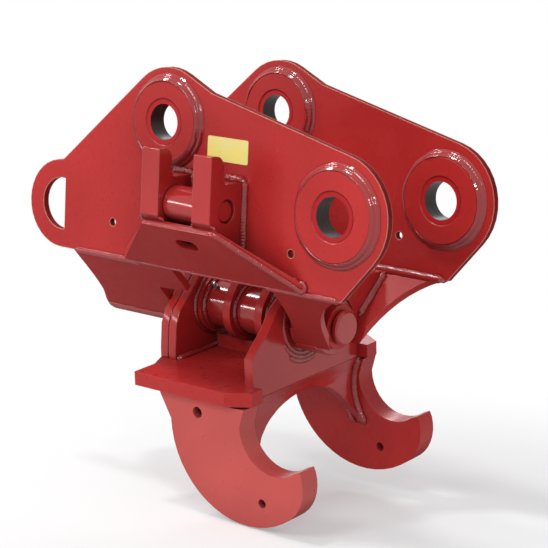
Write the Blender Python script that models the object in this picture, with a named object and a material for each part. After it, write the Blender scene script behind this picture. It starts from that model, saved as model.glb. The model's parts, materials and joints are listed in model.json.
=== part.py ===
"""Tilting excavator quick coupler, modelled in metres, +Z up.

X runs from the link end to the dipper end, Y from the near plate to the far plate.
The origin is the middle of the dipper pin's axis. The hook frame rolls about a
long pivot pin that lies along X under the side plates, and a hydraulic cylinder
across the frame rolls it.
"""
import bpy
import bmesh
from math import acos, asin, atan2, cos, degrees, hypot, pi, radians, sin
from mathutils import Matrix, Vector

# Clearances
SEAT_GAP = 0.0003
RUN_GAP = 0.0003
SIDE_PLAY = 0.002

# Side plates of the upper frame
PLATE_PITCH = 0.291
PLATE_THICKNESS = 0.012
PLATE_BOTTOM = 0.135
LINK_X = 0.360
LINK_Z = 0.110
FRONT_CORNER_X = 0.016
TOP_KINK_X = 0.268
TOP_KINK_Z = 0.166
EYE_X = 0.600
EYE_END_RADIUS = 0.0765
EYE_SLOT_RADIUS = 0.045
EYE_SLOT_CHORD = 0.007
BOLT_HOLE_RADIUS = 0.007
BOLT_HOLES = ((-0.478, -0.075), (-0.088, -0.072))

# Pin bosses and bushes
BOSS_PROUD = 0.012
DIPPER_BOSS_WALL = 0.0335
LINK_BOSS_WALL = 0.030
DIPPER_RIM = 0.026
LINK_RIM = 0.022
DIPPER_BORE_RADIUS = 0.0325
LINK_BORE_RADIUS = 0.030
BUSH_WALL = 0.008
BUSH_INSET = 0.0015
BORE_CHAMFER = 0.002

# Pivot and hubs
PIVOT_DROP = 0.213
PIVOT_PIN_RADIUS = 0.025
PIVOT_PIN_FRONT = -0.082
PIVOT_HEAD_RADIUS = 0.029
PIVOT_HEAD_LENGTH = 0.009
PIVOT_CHAMFER = 0.003
PIVOT_TAIL = 0.020
HUB_RADIUS = 0.050
FLANK_THICKNESS = 0.012
FRONT_HUB_LENGTH = 0.058
FRONT_FLANK_REAR = -0.164
FRONT_FLANK_TOP_REAR = -0.126
FRONT_FLANK_LIP = 0.004
FRONT_FLANK_FOOT = -0.086
FRONT_FLANK_PULL = (-0.077, 0.0405)
FRONT_FLANK_REAR_PULL = (-0.120, 0.090)
CROSS_PLATE_THICKNESS = 0.020
REAR_HUB_END = -0.592
REAR_HUB_FRONT = -0.410
REAR_FLANK_END = -0.568
REAR_FLANK_STRAIGHT = 0.3
REAR_FLANK_PULL = 0.75
REAR_LIP_FRONT = -0.342
REAR_LIP_DEPTH = 0.062
REAR_LIP_RUN = 0.006
COLLAR_RADIUS = 0.038
COLLAR_THICKNESS = 0.012
WASHER_THICKNESS = 0.004
WASHER_RADIUS = 0.041

# Hook frame
REST_TILT = radians(7.0)
HOOK_PITCH = 0.322
HOOK_THICKNESS = 0.038
THROAT_X = -0.100
THROAT_Z = -0.139
THROAT_RADIUS = 0.070
HOOK_BACK_X = -0.164
HOOK_BACK_Z = -0.152
HOOK_BACK_RADIUS = 0.157
HOOK_BACK_END = 308
HOOK_NOSE_RADIUS = 0.073
HOOK_NOSE_END = 15
HOOK_TOP_REAR = -0.345
HOOK_TOP_FRONT = -0.160
HOOK_TIP_X = -0.046
HOOK_TIP_Z = -0.190
HOOK_DROP = 0.004
THROAT_MOUTH = 308
HOOK_HOLE = (-0.127, -0.262)
HOOK_HOLE_RADIUS = 0.008
SIGHT_HOLE = (-0.261, -0.130)
SIGHT_HOLE_RADIUS = 0.010
SHELF_TOP = -0.079
SHELF_THICKNESS = 0.024
SHELF_HALF_WIDTH = 0.192
SHELF_TAB_REAR = -0.389
SHELF_TAB_FRONT = -0.150
SHELF_TAB_ROOT = 0.142
SHELF_CORNER = (0.040, 0.024)
BULKHEAD_FACE = -0.170
FRONT_BULKHEAD_THICKNESS = 0.018
FRONT_BULKHEAD_HALF_WIDTH = 0.141
FRONT_SHOULDER = ((0.141, -0.034), (0.0955, 0.007), (0.076, 0.033), (0.040, 0.058))
REAR_BULKHEAD_THICKNESS = 0.016
REAR_BULKHEAD_GAP = 0.002
REAR_SHOULDER = ((0.107, -0.064), (0.102, -0.019), (0.091, 0.005), (0.061, 0.031), (0.036, 0.056))
REAR_BULKHEAD_FOOT = 0.107
TUBE_RADIUS = 0.042
TUBE_BORE_RADIUS = 0.031
BUSH_LENGTH = 0.075
NIPPLE_INSET = 0.015
TUBE_COLLAR_RADIUS = 0.052
TUBE_COLLAR_THICKNESS = 0.012
RIB_THICKNESS = 0.024
WEB_X = -0.066
WEB_Z = -0.155
WEB_RADIUS = 0.116
WEB_THICKNESS = 0.016
WEB_FOOT_ANGLE = radians(219)
ARCH_APEX = -0.126
ARCH_SPRING = -0.226

# Tilt cylinder
CYLINDER_X = -0.2635
BASE_PIN_REACH = 0.0435
BASE_PIN_Z = -0.014
BASE_PIN_RADIUS = 0.017
BASE_PIN_RECESS = 0.003
BASE_PIN_RELIEF = 0.003
RELIEF_DEPTH = 0.008
LUG_GAP = 0.073
LUG_THICKNESS = 0.038
LUG_REACH = 0.084
LUG_TOP = 0.077
LUG_CORNER_RADIUS = 0.018
LUG_SHOULDER = 0.030
LUG_FINGER = 0.030
LUG_FILLET = 0.008
BASE_EYE_RADIUS = 0.030
BASE_EYE_NECK = 0.031
BASE_EYE_NECK_HALF = 0.024
CRANK_RADIUS = 0.125
CRANK_ANGLE = radians(30)
ROD_PIN_RADIUS = 0.012
ROD_PIN_CLEARANCE = 0.008
ROD_EYE_WALL = 0.012
ROD_EYE_WIDTH = 0.050
CRANK_THICKNESS = 0.016
CRANK_EYE_RADIUS = 0.028
CRANK_RING_RADIUS = 0.056
BARREL_RADIUS = 0.034
BARREL_BORE_RADIUS = 0.025
BARREL_CAP = 0.010
BARREL_END = 0.172
GLAND_DEPTH = 0.014
GLAND_FLANGE = 0.012
ROD_RADIUS = 0.016
ROD_EYE_NECK = 0.042
PISTON_LENGTH = 0.020
PISTON_SETBACK = 0.1822
WINDOW_RADIUS = 0.046
PORT_RADIUS = 0.009
PORT_HEIGHT = 0.010
PORT_PLACES = (0.084, 0.148)

# Pocket plate under the cylinder's lugs
POCKET_THICKNESS = 0.012
POCKET_RISE = 0.086
POCKET_REAR = -0.448
POCKET_FRONT = -0.055
POCKET_TOP_REAR = -0.335
POCKET_TOP_FRONT = -0.185
DRAIN_X = -0.259
DRAIN_RISE = 0.080
DRAIN_LENGTH = 0.046
DRAIN_HEIGHT = 0.024

# Keepers and small fittings
KEEPER_THICKNESS = 0.006
KEEPER_BOLT_RISE = 0.030
KEEPER_TOP_RADIUS = 0.012
KEEPER_ROUND_RADIUS = 0.024
KEEPER_HEAD_RADIUS = 0.0096
KEEPER_HEAD_HEIGHT = 0.006
NIPPLE_RADIUS = 0.005
NIPPLE_HEIGHT = 0.012
NIPPLE_PROFILE = ((1, 0), (1, 0.35), (0.5, 0.45), (0.5, 0.65), (0.7, 0.8), (0.45, 1))

# Faceting
ROUND_STEPS = 36
FINE_STEPS = 52
SMALL_STEPS = 18
CYLINDER_STEPS = 28
NIPPLE_STEPS = 10
SHARP_ANGLE = radians(35)

# Places worked out from the sizes above
PLATE_OUTER = PLATE_PITCH / 2 + PLATE_THICKNESS / 2
PLATE_INNER = PLATE_PITCH / 2 - PLATE_THICKNESS / 2
DIPPER_BOSS_RADIUS = DIPPER_BORE_RADIUS + BUSH_WALL + DIPPER_BOSS_WALL
LINK_BOSS_RADIUS = LINK_BORE_RADIUS + BUSH_WALL + LINK_BOSS_WALL
DIPPER_END_RADIUS = DIPPER_BOSS_RADIUS + DIPPER_RIM
LINK_END_RADIUS = LINK_BOSS_RADIUS + LINK_RIM
TUBE_FRONT = BULKHEAD_FACE
FRONT_WASHER_REAR = TUBE_FRONT + SEAT_GAP
FRONT_HUB_REAR = FRONT_WASHER_REAR + WASHER_THICKNESS + SEAT_GAP
FRONT_HUB_FRONT = FRONT_HUB_REAR + FRONT_HUB_LENGTH
REAR_WASHER_REAR = REAR_HUB_FRONT + SEAT_GAP
TUBE_REAR = REAR_WASHER_REAR + WASHER_THICKNESS + SEAT_GAP
REAR_INNER_X = TUBE_REAR + REAR_BULKHEAD_THICKNESS + REAR_BULKHEAD_GAP
REAR_BULKHEAD_FRONT = REAR_INNER_X + REAR_BULKHEAD_THICKNESS
FRONT_BULKHEAD_REAR = BULKHEAD_FACE - FRONT_BULKHEAD_THICKNESS
HOOK_TOP = SHELF_TOP - SHELF_THICKNESS - HOOK_DROP
HOOK_INNER = HOOK_PITCH / 2 - HOOK_THICKNESS / 2
LUG_END = -PLATE_OUTER - LUG_REACH
BASE_PIN_Y = -PLATE_OUTER - BASE_PIN_REACH
POCKET_RUN = LUG_REACH
ROD_PIN_LOCAL = Vector((0, CRANK_RADIUS * sin(CRANK_ANGLE), CRANK_RADIUS * cos(CRANK_ANGLE)))
ROD_PIN = Matrix.Rotation(REST_TILT, 3, 'X') @ ROD_PIN_LOCAL + Vector((0, 0, -PIVOT_DROP))
CYLINDER_LENGTH = hypot(ROD_PIN.y - BASE_PIN_Y, ROD_PIN.z - BASE_PIN_Z)
CYLINDER_ANGLE = atan2(ROD_PIN.z - BASE_PIN_Z, ROD_PIN.y - BASE_PIN_Y)
ROD_EYE_BORE = ROD_PIN_RADIUS + ROD_PIN_CLEARANCE


def clear_scene():
    for obj in list(bpy.data.objects):
        bpy.data.objects.remove(obj, do_unlink=True)


def material(name, color, metallic, roughness):
    made = bpy.data.materials.new(name)
    made.use_nodes = True
    shader = made.node_tree.nodes['Principled BSDF']
    shader.inputs['Base Color'].default_value = (*color, 1)
    shader.inputs['Metallic'].default_value = metallic
    shader.inputs['Roughness'].default_value = roughness
    return made


def paint(name):
    return material(name + '_paint', (0.43, 0.026, 0.030), 0.0, 0.28)


def steel(name):
    return material(name + '_steel', (0.42, 0.41, 0.40), 1.0, 0.32)


def chrome(name):
    return material(name + '_chrome', (0.75, 0.75, 0.76), 1.0, 0.10)


def bronze(name):
    return material(name + '_bronze', (0.45, 0.30, 0.14), 1.0, 0.35)


def settle(name, mesh_builder, origin, finish, parent=None):
    """Turns a bmesh into a named object whose origin is its reference point."""
    bmesh.ops.recalc_face_normals(mesh_builder, faces=mesh_builder.faces)
    bmesh.ops.translate(mesh_builder, verts=mesh_builder.verts, vec=-Vector(origin))
    mesh = bpy.data.meshes.new(name)
    mesh_builder.to_mesh(mesh)
    mesh_builder.free()
    mesh.shade_smooth()
    mesh.set_sharp_from_angle(angle=SHARP_ANGLE)
    mesh.materials.append(finish(name))
    obj = bpy.data.objects.new(name, mesh)
    bpy.context.scene.collection.objects.link(obj)
    obj.location = origin
    obj.parent = parent
    return obj


def empty(name, location, parent=None):
    obj = bpy.data.objects.new(name, None)
    bpy.context.scene.collection.objects.link(obj)
    obj.location = location
    obj.parent = parent
    return obj


def arc(centre, radius, start, end, steps=ROUND_STEPS):
    """Points of an arc in degrees, spread as finely as a full round of steps."""
    count = max(2, round(steps * abs(end - start) / 360))
    turn = (end - start) / count
    angles = [radians(start + turn * i) for i in range(count + 1)]
    return [(centre[0] + radius * cos(a), centre[1] + radius * sin(a)) for a in angles]


def bezier(start, pull, end, steps=10):
    points = []
    for i in range(steps + 1):
        t = i / steps
        weights = ((1 - t) ** 2, 2 * t * (1 - t), t ** 2)
        points.append(tuple(weights[0] * a + weights[1] * b + weights[2] * c
                            for a, b, c in zip(start, pull, end)))
    return points


def tangent_angle(point, centre, radius, side):
    """Direction in degrees from centre to where a line from point touches the round."""
    away = atan2(point[1] - centre[1], point[0] - centre[0])
    reach = hypot(point[0] - centre[0], point[1] - centre[1])
    return degrees(away + side * acos(radius / reach))


def along_x(point, x):
    return Vector((x, point[0], point[1]))


def along_y(point, y):
    return Vector((point[0], y, point[1]))


def along_z(point, z):
    return Vector((point[0], point[1], z))


def prism(outline, low, high, place):
    """Closed prism over a 2D outline between two stations of an axis."""
    builder = bmesh.new()
    bottom = [builder.verts.new(place(p, low)) for p in outline]
    top = [builder.verts.new(place(p, high)) for p in outline]
    builder.faces.new(bottom)
    builder.faces.new(top)
    for i in range(len(outline)):
        j = (i + 1) % len(outline)
        builder.faces.new((bottom[i], bottom[j], top[j], top[i]))
    return builder


def turned(profile, centre, axis, steps=ROUND_STEPS):
    """Solid of revolution: profile is a loop of (radius, station) about an axis."""
    builder = bmesh.new()
    direction = Vector({'X': (1, 0, 0), 'Y': (0, 1, 0), 'Z': (0, 0, 1)}[axis])
    outward = Vector({'X': (0, 0, 1), 'Y': (0, 0, 1), 'Z': (1, 0, 0)}[axis])
    centre = Vector(centre)
    verts = [builder.verts.new(centre + outward * r + direction * s) for r, s in profile]
    edges = []
    for i in range(len(verts)):
        j = (i + 1) % len(verts)
        if profile[i][0] > 0 or profile[j][0] > 0:
            edges.append(builder.edges.new((verts[i], verts[j])))
    bmesh.ops.spin(builder, geom=edges, cent=centre, axis=direction, angle=2 * pi,
                   steps=steps, use_merge=True)
    bmesh.ops.remove_doubles(builder, verts=builder.verts, dist=1e-6)
    return builder


def disc(radius, low, high, chamfer=0.0):
    """Profile of a plain round bar with chamfered ends."""
    return [(0, low), (radius - chamfer, low), (radius, low + chamfer),
            (radius, high - chamfer), (radius - chamfer, high), (0, high)]


def ring(inner, outer, low, high, chamfer=0.0):
    """Profile of a ring, its rims chamfered where a chamfer is given."""
    if chamfer == 0:
        return [(inner, low), (outer, low), (outer, high), (inner, high)]
    return [(inner, low + chamfer), (inner + chamfer, low), (outer - chamfer, low),
            (outer, low + chamfer), (outer, high - chamfer), (outer - chamfer, high),
            (inner + chamfer, high), (inner, high - chamfer)]


def modify(obj, name, tool_builder, operation, parent=None):
    """Adds an exact Boolean whose tool stays in the file as a wire guide."""
    bmesh.ops.recalc_face_normals(tool_builder, faces=tool_builder.faces)
    mesh = bpy.data.meshes.new(name)
    tool_builder.to_mesh(mesh)
    tool_builder.free()
    tool = bpy.data.objects.new(name, mesh)
    bpy.context.scene.collection.objects.link(tool)
    tool.parent = parent
    tool.display_type = 'WIRE'
    tool.hide_render = True
    change = obj.modifiers.new(name, 'BOOLEAN')
    change.operation = operation
    change.solver = 'EXACT'
    change.object = tool


def drill(obj, name, centre, axis, radius, reach, parent=None, steps=ROUND_STEPS):
    """Cuts a round hole of the given half-length about centre."""
    modify(obj, name, turned(disc(radius, -reach, reach), centre, axis, steps), 'DIFFERENCE', parent)


def plate_outline():
    """Side plate: round dipper and link ends, kinked top edge, lifting-eye end."""
    corner = (FRONT_CORNER_X, -PLATE_BOTTOM)
    kink = (-TOP_KINK_X, TOP_KINK_Z)
    dipper = (0, 0)
    link = (-LINK_X, LINK_Z)
    eye = (-EYE_X, EYE_END_RADIUS - PLATE_BOTTOM)
    eye_top = (eye[0], eye[1] + EYE_END_RADIUS)
    dipper_start = tangent_angle(corner, dipper, DIPPER_END_RADIUS, 1)
    dipper_end = tangent_angle(kink, dipper, DIPPER_END_RADIUS, -1)
    link_start = tangent_angle(kink, link, LINK_END_RADIUS, 1)
    link_end = tangent_angle(eye_top, link, LINK_END_RADIUS, -1) % 360
    outline = [corner]
    outline += arc(dipper, DIPPER_END_RADIUS, dipper_start, dipper_end)
    outline += [kink]
    outline += arc(link, LINK_END_RADIUS, link_start, link_end)
    outline += arc(eye, EYE_END_RADIUS, 90, 270)
    return outline


def side_plates():
    eye_z = EYE_END_RADIUS - PLATE_BOTTOM
    chord_angle = degrees(asin(EYE_SLOT_CHORD / EYE_SLOT_RADIUS))
    slot = arc((-EYE_X, eye_z), EYE_SLOT_RADIUS, 90 - chord_angle, 270 + chord_angle)
    for label, side in (('near', -1), ('far', 1)):
        low, high = sorted((side * PLATE_OUTER, side * PLATE_INNER))
        middle = side * PLATE_PITCH / 2
        plate = settle('side_plate_' + label, prism(plate_outline(), low, high, along_y),
                       (0, middle, 0), paint)
        modify(plate, 'eye_cut_' + label,
               prism(slot, low - SEAT_GAP, high + SEAT_GAP, along_y), 'DIFFERENCE')
        for index, (x, z) in enumerate(BOLT_HOLES):
            drill(plate, 'bolt_cut_%s_%d' % (label, index), (x, middle, z), 'Y',
                  BOLT_HOLE_RADIUS, PLATE_THICKNESS, steps=SMALL_STEPS)
        drill(plate, 'dipper_cut_' + label, (0, middle, 0), 'Y',
              DIPPER_BOSS_RADIUS + SEAT_GAP, PLATE_THICKNESS)
        drill(plate, 'link_cut_' + label, (-LINK_X, middle, LINK_Z), 'Y',
              LINK_BOSS_RADIUS + SEAT_GAP, PLATE_THICKNESS)
        if side < 0:
            window_z = BASE_PIN_Z + (middle - BASE_PIN_Y) * sin(CYLINDER_ANGLE) / cos(CYLINDER_ANGLE)
            drill(plate, 'cylinder_window', (CYLINDER_X, middle, window_z), 'Y',
                  WINDOW_RADIUS, PLATE_THICKNESS)


def bosses():
    """Through bosses with their pressed bushes, one pair on each pin's axis."""
    half = PLATE_THICKNESS / 2 + BOSS_PROUD
    pins = (('dipper', 0, 0, DIPPER_BOSS_RADIUS, DIPPER_BORE_RADIUS),
            ('link', -LINK_X, LINK_Z, LINK_BOSS_RADIUS, LINK_BORE_RADIUS))
    for pin, x, z, outer, bore in pins:
        for label, side in (('near', -1), ('far', 1)):
            centre = (x, side * PLATE_PITCH / 2, z)
            seat = bore + BUSH_WALL
            settle('%s_boss_%s' % (pin, label),
                   turned(ring(seat, outer, -half, half, BORE_CHAMFER), centre, 'Y'), centre, paint)
            short = half - BUSH_INSET
            settle('%s_bush_%s' % (pin, label),
                   turned(ring(bore, seat - SEAT_GAP, -short, short), centre, 'Y'), centre, steel)


def flank_lines():
    """Outer line of a flank: from the plate's outer bottom edge to the hub's underside."""
    top = (-PLATE_OUTER, -PLATE_BOTTOM - SEAT_GAP)
    hub = (0, -PIVOT_DROP)
    touch = radians(tangent_angle(top, hub, HUB_RADIUS, 1))
    foot = (HUB_RADIUS * cos(touch), -PIVOT_DROP + HUB_RADIUS * sin(touch))
    run = Vector((foot[0] - top[0], foot[1] - top[1]))
    return top, foot, run


def flank(name, side, outline, origin_x):
    """Sloping plate between a side plate's bottom edge and a hub, cut to an outline.

    The outline is given as (x, distance down the slope).
    """
    top, foot, run = flank_lines()
    down = run.normalized()
    inward = Vector((-down.y, down.x))
    inner_run = FLANK_THICKNESS / abs(down.y)
    inner_top = (top[0] + inner_run, top[1])
    inner_foot = (foot[0] + FLANK_THICKNESS * inward.x, foot[1] + FLANK_THICKNESS * inward.y)
    section = [(-side * y, z) for y, z in (top, foot, inner_foot, inner_top)]
    low = min(x for x, s in outline)
    high = max(x for x, s in outline)
    obj = settle(name, prism(section, low, high, along_x), (origin_x, -side * top[0], top[1]), paint)

    def on_slope(point, depth):
        y = top[0] + down.x * point[1] + inward.x * depth
        z = top[1] + down.y * point[1] + inward.y * depth
        return Vector((point[0], -side * y, z))
    modify(obj, name + '_shape', prism(outline, -FLANK_THICKNESS, 2 * FLANK_THICKNESS, on_slope),
           'INTERSECT')
    drill(obj, name + '_hub_cut', ((low + high) / 2, 0, -PIVOT_DROP), 'X',
          HUB_RADIUS + SEAT_GAP, high - low)


def saddles():
    length = flank_lines()[2].length
    over = FLANK_THICKNESS
    front = [(FRONT_FLANK_TOP_REAR, -over), (FRONT_CORNER_X, -over)]
    front += bezier((FRONT_CORNER_X, -FRONT_FLANK_LIP), FRONT_FLANK_PULL, (FRONT_FLANK_FOOT, length + over))
    front += bezier((FRONT_FLANK_REAR, length + over), FRONT_FLANK_REAR_PULL,
                    (FRONT_FLANK_TOP_REAR, 0))
    rear = [(REAR_FLANK_END, -over), (REAR_LIP_FRONT, -over), (REAR_LIP_FRONT, REAR_LIP_DEPTH),
            (REAR_HUB_FRONT, REAR_LIP_DEPTH + REAR_LIP_RUN), (REAR_HUB_FRONT, length + over)]
    rear += bezier((REAR_HUB_END, length + over), (REAR_FLANK_END, length * REAR_FLANK_PULL),
                   (REAR_FLANK_END, length * REAR_FLANK_STRAIGHT), 6)
    for label, side in (('near', -1), ('far', 1)):
        flank('front_flank_' + label, -side, front, FRONT_FLANK_TOP_REAR)
        flank('rear_flank_' + label, -side, rear, REAR_HUB_FRONT)
    bore = PIVOT_PIN_RADIUS + RUN_GAP
    for name, low, high in (('front_hub', FRONT_HUB_REAR, FRONT_HUB_FRONT),
                            ('rear_hub', REAR_HUB_END, REAR_HUB_FRONT)):
        settle(name, turned(ring(bore, HUB_RADIUS, low, high, BORE_CHAMFER),
                            (0, 0, -PIVOT_DROP), 'X'), (high, 0, -PIVOT_DROP), paint)
    cross_plate()


def cross_plate():
    """Upright plate between the front flanks, flush with the front hub's face."""
    top, foot, run = flank_lines()
    depth = FLANK_THICKNESS + SEAT_GAP
    down = run.normalized()
    near = [(top[0] + depth / abs(down.y), top[1]),
            (foot[0] - down.y * depth, foot[1] + down.x * depth)]
    outline = near + [(-y, z) for y, z in reversed(near)]
    low = FRONT_HUB_FRONT - CROSS_PLATE_THICKNESS
    plate = settle('front_cross_plate', prism(outline, low, FRONT_HUB_FRONT, along_x),
                   (FRONT_HUB_FRONT, 0, top[1]), paint)
    drill(plate, 'cross_plate_hub_cut', (low, 0, -PIVOT_DROP), 'X', HUB_RADIUS + SEAT_GAP,
          2 * CROSS_PLATE_THICKNESS)


def pivot_pin():
    axis = (0, 0, -PIVOT_DROP)
    tail = REAR_HUB_END - PIVOT_TAIL
    shank = disc(PIVOT_PIN_RADIUS, tail, PIVOT_PIN_FRONT, PIVOT_CHAMFER)[:3]
    head = disc(PIVOT_HEAD_RADIUS, PIVOT_PIN_FRONT - PIVOT_HEAD_LENGTH, PIVOT_PIN_FRONT, PIVOT_CHAMFER)[3:]
    neck = [(PIVOT_PIN_RADIUS, PIVOT_PIN_FRONT - PIVOT_HEAD_LENGTH),
            (PIVOT_HEAD_RADIUS, PIVOT_PIN_FRONT - PIVOT_HEAD_LENGTH)]
    settle('pivot_pin', turned(shank + neck + head, axis, 'X'),
           (PIVOT_PIN_FRONT, 0, -PIVOT_DROP), paint)
    inner = PIVOT_PIN_RADIUS + RUN_GAP
    front = FRONT_HUB_FRONT + SEAT_GAP
    rear = REAR_HUB_END - SEAT_GAP
    rings = (('front_pin_collar', front, front + COLLAR_THICKNESS, COLLAR_RADIUS, paint),
             ('rear_pin_collar', rear - COLLAR_THICKNESS, rear, COLLAR_RADIUS, paint),
             ('front_thrust_washer', FRONT_WASHER_REAR, FRONT_WASHER_REAR + WASHER_THICKNESS,
              WASHER_RADIUS, bronze),
             ('rear_thrust_washer', REAR_WASHER_REAR, REAR_WASHER_REAR + WASHER_THICKNESS,
              WASHER_RADIUS, bronze))
    for name, low, high, outer, finish in rings:
        settle(name, turned(ring(inner, outer, low, high), axis, 'X'), (low, 0, -PIVOT_DROP), finish)


def lug_outline():
    """Cylinder lug in the YZ plane: a body on the plate and an upright finger outboard."""
    root = -PLATE_OUTER - SEAT_GAP
    slope = POCKET_RISE / POCKET_RUN
    lift = POCKET_THICKNESS * hypot(1, slope) + SEAT_GAP
    finger = LUG_END + LUG_FINGER
    corner = (finger - LUG_CORNER_RADIUS, LUG_TOP - LUG_CORNER_RADIUS)

    def foot(y):
        return -PLATE_BOTTOM + slope * (-PLATE_OUTER - y) + lift
    outline = [(LUG_END, foot(LUG_END)), (root, foot(root)), (root, LUG_SHOULDER)]
    outline += arc((finger + LUG_FILLET, LUG_SHOULDER + LUG_FILLET), LUG_FILLET, 270, 180, SMALL_STEPS)
    outline += arc(corner, LUG_CORNER_RADIUS, 0, 90)
    outline += [(LUG_END, LUG_TOP)]
    return outline


def cylinder_mount():
    """Two lugs outboard of the near plate, with the base pin between them."""
    offset = LUG_GAP / 2 + LUG_THICKNESS / 2
    for label, side in (('rear', -1), ('front', 1)):
        middle = CYLINDER_X + side * offset
        name = 'cylinder_lug_' + label
        lug = settle(name, prism(lug_outline(), middle - LUG_THICKNESS / 2,
                                 middle + LUG_THICKNESS / 2, along_x),
                     (middle, BASE_PIN_Y, BASE_PIN_Z), paint)
        drill(lug, name + '_bore', (middle, BASE_PIN_Y, BASE_PIN_Z), 'X',
              BASE_PIN_RADIUS + RUN_GAP, LUG_THICKNESS)
    end = LUG_GAP / 2 + LUG_THICKNESS
    drill(lug, 'base_pin_relief', (CYLINDER_X + end, BASE_PIN_Y, BASE_PIN_Z), 'X',
          BASE_PIN_RADIUS + BASE_PIN_RELIEF, RELIEF_DEPTH)
    pin = disc(BASE_PIN_RADIUS, -end - KEEPER_THICKNESS, end - BASE_PIN_RECESS, BORE_CHAMFER / 2)
    centre = (CYLINDER_X, BASE_PIN_Y, BASE_PIN_Z)
    settle('cylinder_base_pin', turned(pin, centre, 'X'), centre, paint)
    keeper_x = CYLINDER_X - end - SEAT_GAP - KEEPER_THICKNESS
    bolt_z = BASE_PIN_Z + KEEPER_BOLT_RISE
    keeper = arc((BASE_PIN_Y, bolt_z), KEEPER_TOP_RADIUS, 0, 180, SMALL_STEPS)
    keeper += arc((BASE_PIN_Y, BASE_PIN_Z), KEEPER_ROUND_RADIUS, 180, 360, SMALL_STEPS)
    plate = settle('base_pin_keeper', prism(keeper, keeper_x, keeper_x + KEEPER_THICKNESS, along_x),
                   (keeper_x, BASE_PIN_Y, bolt_z), paint)
    drill(plate, 'keeper_pin_cut', (keeper_x, BASE_PIN_Y, BASE_PIN_Z), 'X',
          BASE_PIN_RADIUS + RUN_GAP, KEEPER_THICKNESS * 2)
    head = keeper_x - SEAT_GAP - KEEPER_HEAD_HEIGHT
    settle('base_pin_bolt', turned(disc(KEEPER_HEAD_RADIUS, head, head + KEEPER_HEAD_HEIGHT),
                                   (0, BASE_PIN_Y, bolt_z), 'X', 6), (head, BASE_PIN_Y, bolt_z), steel)


def pocket_plate():
    """Sloping plate from the near plate's bottom edge up to the lugs' outboard ends."""
    run = Vector((-POCKET_RUN, POCKET_RISE)).normalized()
    inward = Vector((run.y, -run.x))
    root = -PLATE_OUTER - SEAT_GAP
    slope = POCKET_RISE / POCKET_RUN
    rise = POCKET_THICKNESS * hypot(1, slope)
    outer_foot = (root, -PLATE_BOTTOM)
    outer_top = (LUG_END, -PLATE_BOTTOM + POCKET_RISE)
    inner_foot = (root, -PLATE_BOTTOM + rise)
    inner_top = (LUG_END + inward.x * POCKET_THICKNESS,
                 -PLATE_BOTTOM + POCKET_RISE + inward.y * POCKET_THICKNESS)
    builder = bmesh.new()
    corners = {}
    for label, (y, z), ends in (('of', outer_foot, (POCKET_REAR, POCKET_FRONT)),
                                ('ot', outer_top, (POCKET_TOP_REAR, POCKET_TOP_FRONT)),
                                ('it', inner_top, (POCKET_TOP_REAR, POCKET_TOP_FRONT)),
                                ('if', inner_foot, (POCKET_REAR, POCKET_FRONT))):
        corners[label] = [builder.verts.new((x, y, z)) for x in ends]
    loop = ('of', 'ot', 'it', 'if')
    builder.faces.new([corners[k][0] for k in loop])
    builder.faces.new([corners[k][1] for k in loop])
    for first, second in zip(loop, loop[1:] + loop[:1]):
        builder.faces.new((corners[first][0], corners[first][1], corners[second][1], corners[second][0]))
    plate = settle('pocket_plate', builder, (CYLINDER_X, root, -PLATE_BOTTOM), paint)
    middle = Vector((DRAIN_X, root + run.x * DRAIN_RISE, -PLATE_BOTTOM + run.y * DRAIN_RISE))
    slot = arc((DRAIN_LENGTH / 2 - DRAIN_HEIGHT / 2, 0), DRAIN_HEIGHT / 2, -90, 90, SMALL_STEPS)
    slot += arc((DRAIN_HEIGHT / 2 - DRAIN_LENGTH / 2, 0), DRAIN_HEIGHT / 2, 90, 270, SMALL_STEPS)

    def across(point, depth):
        return middle + Vector((point[0], run.x * point[1] + inward.x * depth,
                                run.y * point[1] + inward.y * depth))
    modify(plate, 'drain_cut', prism(slot, -POCKET_THICKNESS, 2 * POCKET_THICKNESS, across), 'DIFFERENCE')


def hook_outline():
    """Claw: straight neck, round throat, blunt tip and a round back."""
    back = (HOOK_BACK_X, HOOK_BACK_Z)
    throat = (THROAT_X, THROAT_Z)
    tip = (HOOK_TIP_X, HOOK_TIP_Z)
    outline = [(HOOK_TOP_REAR, HOOK_TOP)]
    outline += arc(back, HOOK_BACK_RADIUS, 180, HOOK_BACK_END, FINE_STEPS)
    inset = HOOK_BACK_RADIUS - HOOK_NOSE_RADIUS
    nose = (back[0] + inset * cos(radians(HOOK_BACK_END)), back[1] + inset * sin(radians(HOOK_BACK_END)))
    outline += arc(nose, HOOK_NOSE_RADIUS, HOOK_BACK_END, 360 + HOOK_NOSE_END)[1:]
    outline += [tip]
    outline += arc(throat, THROAT_RADIUS, THROAT_MOUTH, 180)
    outline += [(HOOK_TOP_FRONT, HOOK_TOP)]
    return outline


def hooks(frame):
    for label, side in (('near', -1), ('far', 1)):
        middle = side * HOOK_PITCH / 2
        name = 'hook_' + label
        hook = settle(name, prism(hook_outline(), middle - HOOK_THICKNESS / 2,
                                  middle + HOOK_THICKNESS / 2, along_y),
                      (THROAT_X, middle, THROAT_Z), paint, frame)
        for cut, (x, z), radius in (('_bolt_cut', HOOK_HOLE, HOOK_HOLE_RADIUS),
                                    ('_sight_cut', SIGHT_HOLE, SIGHT_HOLE_RADIUS)):
            drill(hook, name + cut, (x, middle, z), 'Y', radius, HOOK_THICKNESS, frame, SMALL_STEPS)


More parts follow.
